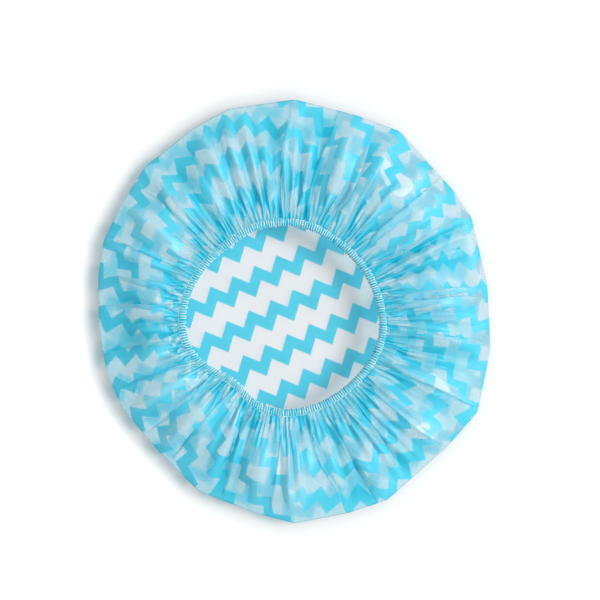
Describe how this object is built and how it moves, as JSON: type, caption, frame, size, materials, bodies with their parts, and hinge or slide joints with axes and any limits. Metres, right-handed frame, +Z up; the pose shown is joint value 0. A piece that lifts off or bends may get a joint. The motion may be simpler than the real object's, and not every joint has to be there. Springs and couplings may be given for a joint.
{
  "type": "shower cap",
  "caption": "Round gathered shower cap of thin chevron-printed film, with an elastic hem that draws in to grip the head and keep the hair dry.",
  "frame": {"origin": "on the face that the crown rests on, under the middle of the outline", "axes": "+Z up out of the head opening, +X to the right and +Y to the top of the picture, which looks straight down"},
  "size_m": [0.2752, 0.2974, 0.0332],
  "materials": {
    "printed_film": "translucent frosted film printed with aqua chevrons",
    "elastic": "knitted elastic",
    "thread": "bright spun thread"
  },
  "bodies": {
    "crown": {"crown_film": "printed_film", "frill_film": "printed_film"},
    "hem": {"hem_casing": "printed_film", "elastic_band": "elastic", "needle_thread": "thread", "upper_looper_thread": "thread", "lower_looper_thread": "thread"}
  },
  "joints": [
    {"name": "hem_lift", "type": "slide", "parent": "crown", "child": "hem", "axis": [0, 0, 1], "range_m": [-0.014, 0.035], "stiffness_N_per_m": 60, "deforming": ["frill_film"]}
  ]
}
